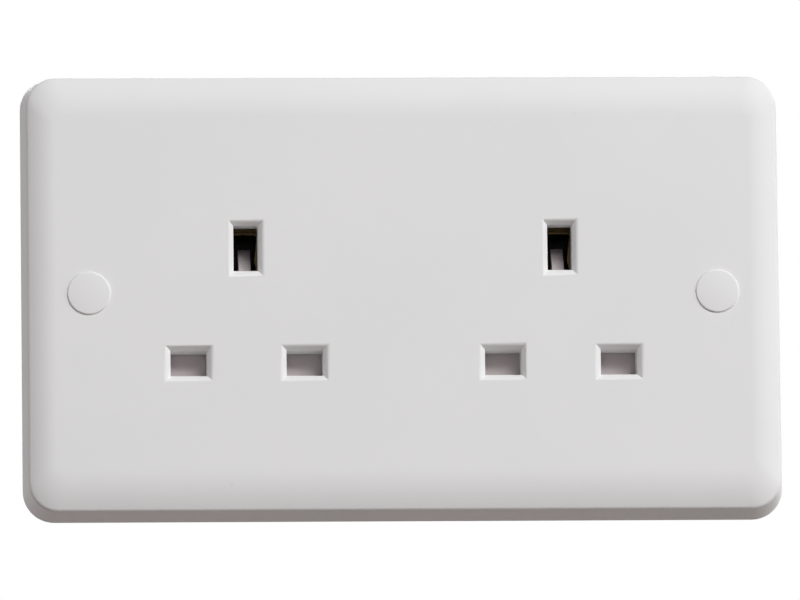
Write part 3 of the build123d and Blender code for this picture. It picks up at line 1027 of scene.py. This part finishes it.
@dataclass
class ShutterSet:
    """One outlet's shutter and the spring that pushes it back."""

    side: Side
    turns: int = 5
    wire: float = 0.4 * MM
    wire_facets: int = 12
    turn_facets: int = 36
    shut_share: float = 0.44
    wire_smooth: float = 50.0

    def build(self, shutter_finish: Material, wire_finish: Material) -> None:
        """Dresses the shutter and winds its spring.

        Args:
            shutter_finish: The shutter's moulding, its off-white darkened and tinted as painted shade of
                the slots.
            wire_finish: The spring's steel.
        """
        dress("shutter_" + self.side.value, shutter_finish)
        self.wind_spring(wire_finish)

    def wind_spring(self, finish: Material) -> None:
        """Winds the spring from round wire and puts it on its shutter's body.

        Args:
            finish: The spring's steel.
        """
        node = "shutter_spring_" + self.side.value
        low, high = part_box(node)
        middle = (low + high) / 2
        coil_radius = (high.x - low.x - self.wire) / 2
        rise = high.z - low.z - self.wire
        wire = Workpiece.from_primitive(
            "spring_" + self.side.value,
            bpy.ops.mesh.primitive_circle_add,
            vertices=self.wire_facets,
            radius=self.wire / 2,
            location=(coil_radius, 0.0, 0.0),
            rotation=LYING,
        )
        wire.wind(self.turns, rise / self.turns, self.turn_facets)
        with wire.edit():
            bpy.ops.transform.translate(value=(middle.x, middle.y, low.z + self.wire / 2))
        wire.face_outwards()
        wire.smooth(self.wire_smooth)
        body = Body["SHUTTER_" + self.side.name]
        wire.hand_over(body, Slot.SPRING, finish, node)
        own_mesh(wire.obj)


@dataclass
class Housing:
    """The dark mouldings behind the plate: the contact cover and the rear housing."""

    edge: float = 0.18 * MM
    edge_steps: int = 2
    shell_from: float = 0.5 * MM

    def build(self, finish: Material) -> None:
        """Rounds the edges of the mouldings and dresses them.

        Args:
            finish: The dark moulding.
        """
        for node, wanted in (("contact_cover", anywhere), ("rear_housing", self.on_shell)):
            moulding = Workpiece.from_node(node, node + "_moulding")
            moulding.round_edges(self.edge, self.edge_steps, wanted)
            moulding.hand_over(Body.SOCKET, Slot.DARK, finish, node)

    def on_shell(self, first: Vector, second: Vector) -> bool:
        """Tells whether an edge lies behind the housing's front, where it can be seen."""
        return min(first.y, second.y) > self.shell_from


@dataclass
class Brasswork:
    """The bars, clips and terminal blocks that carry the current."""

    edge: float = 0.09 * MM
    edge_steps: int = 2
    bars: tuple[str, ...] = ("live_bar", "neutral_bar", "earth_bar")
    clips: tuple[str, ...] = (
        "live_clip_left",
        "live_clip_right",
        "neutral_clip_left",
        "neutral_clip_right",
        "earth_clip_left",
        "earth_clip_right",
    )
    blocks: tuple[str, ...] = (
        "live_terminal",
        "neutral_terminal",
        "earth_terminal_left",
        "earth_terminal_right",
    )

    def build(self) -> None:
        """Rounds the edges of every piece and dresses it, with its marks along its strip."""
        # The bars and the clips wear darker copies of the brass: painted shade where they sit inside the
        # socket.
        for nodes, finish in (
            (self.bars, STRIP_BRASS_SHADED.material(Run.ACROSS)),
            (self.clips, CLIP_BRASS_SHADED.material(Run.DEEP)),
            (self.blocks, BLOCK_BRASS.material(Run.UPRIGHT)),
        ):
            for node in nodes:
                piece = Workpiece.from_node(node, node + "_brass")
                wanted = outside(node) if node in self.blocks else anywhere
                piece.round_edges(self.edge, self.edge_steps, wanted)
                piece.hand_over(Body.SOCKET, Slot.BRASS, finish, node)


@dataclass
class TerminalScrew:
    """A slotted screw that clamps the wires in one terminal block."""

    body: Body
    facets: int = 64
    head_depth: float = 2.2 * MM
    shank_radius: float = 1.9 * MM
    head_edge: float = 0.35 * MM
    head_steps: int = 4
    under_share: float = 1 / 3
    under_steps: int = 2
    slot_width: float = 0.8 * MM
    slot_depth: float = 1.1 * MM
    pitch: float = 0.7 * MM
    thread_depth: float = 0.36 * MM
    ridge_facets: int = 3
    ridge_share: float = 0.8
    free_turn: float = 0.5
    point_edge: float = 0.35 * MM
    point_steps: int = 3
    turn_facets: int = 32

    def __post_init__(self) -> None:
        """Finds the solid of the screw's body and reads its place."""
        self.node = self.body.value.replace("screw", "terminal_screw")
        self.low, self.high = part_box(self.node)
        self.middle = (self.low + self.high) / 2
        self.seat = self.high.y - self.head_depth

    def build(self, finish: Material) -> None:
        """Turns the head, cuts the slot and the thread, and hands the screw over.

        Args:
            finish: The plated steel.
        """
        head = self.turn_head()
        head.combine("UNION", self.turn_shank())
        head.combine("UNION", self.wind_thread())
        head.face_outwards()
        head.mark_rubbed()
        head.smooth()
        head.hand_over(self.body, Slot.PLATED, finish, self.node)

    def turn_head(self) -> Workpiece:
        """Turns the rounded head and cuts its slot.

        Returns:
            The head.
        """
        top = Vector((self.middle.x, self.high.y, self.middle.z))
        radius = self.high.x - top.x
        centre = (top.x, top.y - self.head_depth / 2, top.z)
        head = Workpiece.rod(self.node + "_cut", self.facets, radius, self.head_depth, centre)
        with head.edit():
            head.pick_edges(lambda a, b: min(a.y, b.y) > top.y - WELD)
            bpy.ops.mesh.bevel(offset=self.head_edge, segments=self.head_steps, material=RUBBED_SLOT)
            head.pick_edges(lambda a, b: max(a.y, b.y) < self.seat + WELD)
            bpy.ops.mesh.bevel(offset=self.head_edge * self.under_share, segments=self.under_steps)
        slot_length = radius * 3
        slot_size = (slot_length, self.slot_depth * 2, self.slot_width)
        head.combine("DIFFERENCE", Workpiece.block("driver_slot", top, slot_size))
        return head

    def turn_shank(self) -> Workpiece:
        """Turns the plain core of the screw with its bevelled point.

        Returns:
            The core.
        """
        length = self.seat + self.thread_depth - self.low.y
        radius = self.shank_radius - self.thread_depth
        centre = (self.middle.x, self.low.y + length / 2, self.middle.z)
        shank = Workpiece.rod("screw_core", self.turn_facets, radius, length, centre)
        with shank.edit():
            shank.pick_edges(lambda a, b: max(a.y, b.y) < self.low.y + WELD)
            bpy.ops.mesh.bevel(offset=self.point_edge, segments=self.point_steps)
        return shank

    def wind_thread(self) -> Workpiece:
        """Winds the thread's ridge round the core.

        Returns:
            The ridge.
        """
        point = self.low.y + self.point_edge
        turns = int((self.seat - point) / self.pitch - self.free_turn)
        ridge_radius = self.thread_depth * self.ridge_share
        ridge = Workpiece.from_primitive(
            "screw_ridge",
            bpy.ops.mesh.primitive_circle_add,
            vertices=self.ridge_facets,
            radius=ridge_radius,
            location=(self.shank_radius - ridge_radius, 0.0, 0.0),
            rotation=(QUARTER, QUARTER, 0.0),
        )
        ridge.wind(turns, self.pitch, self.turn_facets)
        ridge.obj.rotation_euler = (-QUARTER, 0.0, 0.0)
        ridge.obj.location = (self.middle.x, point + self.pitch * self.free_turn, self.middle.z)
        ridge.settle()
        ridge.face_outwards()
        return ridge


@dataclass
class HousingScrews:
    """The three domed screws that hold the housing on the plate."""

    node: str = "housing_screws"
    facets: int = 64
    head_radius: float = 2.7 * MM
    head_depth: float = 1.8 * MM
    dome: float = 1.1 * MM
    dome_steps: int = 6
    shank_radius: float = 1.45 * MM
    point_share: float = 0.3
    cross_length: float = 3.0 * MM
    cross_width: float = 0.7 * MM
    cross_depth: float = 1.0 * MM

    def build(self, finish: Material) -> None:
        """Makes one screw, copies it to the other places, and hands them over as one.

        Args:
            finish: The plated steel.
        """
        low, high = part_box(self.node)
        left = Vector((low.x + self.head_radius, high.y, high.z - self.head_radius))
        right = Vector((high.x - self.head_radius, high.y, left.z))
        foot = Vector(((low.x + high.x) / 2, high.y, low.z + self.head_radius))
        screw = self.turn_screw(left, low.y)
        screw.join([screw.twin(right - left), screw.twin(foot - left)])
        screw.hand_over(Body.SOCKET, Slot.PLATED, finish, self.node)

    def turn_screw(self, top: Vector, tip: float) -> Workpiece:
        """Turns one screw.

        Args:
            top: The middle of the head's top.
            tip: How deep the point goes.

        Returns:
            The screw.
        """
        centre = (top.x, top.y - self.head_depth / 2, top.z)
        screw = Workpiece.rod(self.node + "_cut", self.facets, self.head_radius, self.head_depth, centre)
        seat = top.y - self.head_depth
        with screw.edit():
            screw.pick_edges(lambda a, b: min(a.y, b.y) > top.y - WELD)
            bpy.ops.mesh.bevel(offset=self.dome, segments=self.dome_steps, material=RUBBED_SLOT)
            screw.pick_faces(lambda centre, normal: normal.y < -SQUARE_ON)
            bpy.ops.mesh.inset(thickness=self.head_radius - self.shank_radius)
            screw.extrude((0.0, tip - seat + self.shank_radius, 0.0))
            screw.extrude((0.0, -self.shank_radius, 0.0))
            bpy.ops.transform.resize(value=(self.point_share, 1.0, self.point_share))
        length, width = self.cross_length, self.cross_width
        for wide, high in ((length, width), (width, length)):
            arm = Workpiece.block("cross_arm", top, (wide, self.cross_depth * 2, high))
            screw.combine("DIFFERENCE", arm)
        screw.face_outwards()
        screw.mark_rubbed()
        screw.smooth()
        return screw


@dataclass(frozen=True)
class Lamp:
    """A square panel of soft light that faces the socket."""

    name: str
    toward: Triple
    watts: float
    colour: Colour = WHITE
    distance: float = 2.5
    size: float = 1.2

    def hang(self) -> None:
        """Hangs the lamp in its place."""
        light = bpy.data.lights.new(self.name, "AREA")
        light.shape = "SQUARE"
        light.size = self.size
        light.energy = self.watts
        light.color = self.colour
        lamp = bpy.data.objects.new(self.name, light)
        way = Vector(self.toward).normalized()
        lamp.location = way * self.distance
        lamp.rotation_euler = way.to_track_quat("Z", "Y").to_euler()
        lamp.visible_camera = False
        bpy.context.scene.collection.objects.link(lamp)


@dataclass
class Studio:
    """The floor, the lamps, the white surround and the camera."""

    floor_drop: float = 1.2
    floor_size: float = 8.0
    floor_colour: Colour = (0.38, 0.34, 0.325)
    floor_drift: Colour = (0.355, 0.315, 0.30)
    floor_patches: float = 3.0
    floor_roughness: float = 0.8
    floor_glow: float = 0.93
    ambient: float = 0.03
    ambient_colour: Colour = (1.0, 0.84, 0.83)
    lamps: tuple[Lamp, ...] = (
        Lamp("key_lamp", (0.31, -0.73, 0.56), 51.2),
        Lamp("side_lamp", (0.92, -0.38, 0.08), 16.0),
        Lamp("fill_lamp", (-0.98, -0.12, 0.12), 6.2, (1.0, 0.92, 0.92)),
        Lamp("back_lamp", (0.05, 0.85, 0.52), 35.0),
        Lamp("left_edge_lamp", (-0.80, 0.58, 0.12), 9.0),
        Lamp("right_edge_lamp", (0.80, 0.58, 0.12), 13.0),
    )
    camera_distance: float = 2.5
    camera_azimuth: float = -3.25
    camera_elevation: float = -8.4
    camera_roll: float = -0.69
    camera_lens: float = 586.0
    camera_near: float = 0.05
    camera_far: float = 50.0
    camera_aim: Triple = (-0.42 * MM, -5.0 * MM, -0.80 * MM)

    def build(self) -> None:
        """Sets up the whole studio."""
        self.lay_floor()
        for lamp in self.lamps:
            lamp.hang()
            LOG.info("hung %s", lamp.name)
        self.surround()
        self.set_camera()
        bpy.context.scene.view_settings.view_transform = "Standard"

    def lay_floor(self) -> None:
        """Lays the floor well below the socket: nearly white to look at, and open from underneath."""
        floor = Workpiece.from_primitive(
            "floor",
            bpy.ops.mesh.primitive_plane_add,
            size=self.floor_size,
            location=(0.0, 0.0, -self.floor_drop),
        )
        material, tree, shader = start_material("floor_paint")
        place = tree.add("TexCoord").outputs["Object"]
        patch = tree.noise(place, self.floor_patches, detail=3.0, rough=0.5)
        paint = tree.blend(patch, rgba(self.floor_colour), rgba(self.floor_drift))
        tree.feed(shader.inputs["Base Color"], paint)
        shader.inputs["Roughness"].default_value = self.floor_roughness
        surface = shader.outputs["BSDF"].links[0].to_socket
        looked_at = tree.add("LightPath").outputs["Is Camera Ray"]
        glow = tree.add("Emission")
        glow.inputs["Strength"].default_value = 1.0
        lit = tree.mix_shaders(tree.math("MULTIPLY", looked_at, self.floor_glow), shader, glow)
        below = tree.math("MULTIPLY", looked_at, tree.add("NewGeometry").outputs["Backfacing"])
        one_sided = tree.mix_shaders(below, lit, tree.add("BsdfTransparent"))
        tree.feed(surface, one_sided.outputs[0])
        floor.obj.data.materials.clear()
        floor.obj.data.materials.append(material)
        LOG.info("laid %s", floor.obj.name)

    def surround(self) -> None:
        """Makes the surround white to look at and in reflections, and a plain level as light."""
        world = bpy.data.worlds.new("surround")
        world.use_nodes = True
        world.node_tree.nodes.clear()
        tree = Tree(world.node_tree)
        rays = tree.add("LightPath")
        seen = tree.math("MAXIMUM", rays.outputs["Is Camera Ray"], rays.outputs["Is Glossy Ray"])
        seen = tree.math("MAXIMUM", seen, rays.outputs["Is Transmission Ray"])
        light = tree.add("Background")
        light.inputs["Color"].default_value = rgba(self.ambient_colour)
        light.inputs["Strength"].default_value = self.ambient
        white = tree.add("Background")
        white.inputs["Color"].default_value = rgba(WHITE)
        white.inputs["Strength"].default_value = 1.0
        choice = tree.mix_shaders(seen, light, white)
        tree.feed(tree.add("OutputWorld").inputs["Surface"], choice.outputs[0])
        bpy.context.scene.world = world

    def set_camera(self) -> None:
        """Sets the camera a little below and to the left of the plate."""
        azimuth = math.radians(self.camera_azimuth)
        elevation = math.radians(self.camera_elevation)
        back = Vector(
            (
                math.sin(azimuth) * math.cos(elevation),
                -math.cos(azimuth) * math.cos(elevation),
                math.sin(elevation),
            )
        )
        data = bpy.data.cameras.new("camera")
        data.lens = self.camera_lens
        data.clip_start = self.camera_near
        data.clip_end = self.camera_far
        camera = bpy.data.objects.new("camera", data)
        level = (-back).to_track_quat("-Z", "Y").to_matrix().to_4x4()
        roll = Matrix.Rotation(math.radians(self.camera_roll), 4, "Z")
        where = Vector(self.camera_aim) + back * self.camera_distance
        camera.matrix_world = Matrix.Translation(where) @ level @ roll
        bpy.context.scene.collection.objects.link(camera)
        bpy.context.scene.camera = camera


def main() -> None:
    """Builds the socket's pieces in order, then the studio."""
    logging.basicConfig(level=logging.INFO, format="%(message)s")
    white = WHITE_MOULDING.material()
    # The shutters' moulding carries painted shade of the slots in its colour.
    shutter = SHUTTER_MOULDING_SHADED.material()
    dark = DARK_MOULDING.material()
    wire = SPRING_STEEL.material(Run.EVEN)
    plated = PLATED_STEEL.material(Run.EVEN)
    FrontPlate().build(white)
    for side in Side:
        CoverCap(side).build(white)
        ShutterSet(side).build(shutter, wire)
    Housing().build(dark)
    Brasswork().build()
    for body in (Body.LIVE_SCREW, Body.NEUTRAL_SCREW, Body.EARTH_SCREW_LEFT, Body.EARTH_SCREW_RIGHT):
        TerminalScrew(body).build(plated)
    HousingScrews().build(plated)
    Studio().build()


if __name__ == "__main__":
    main()
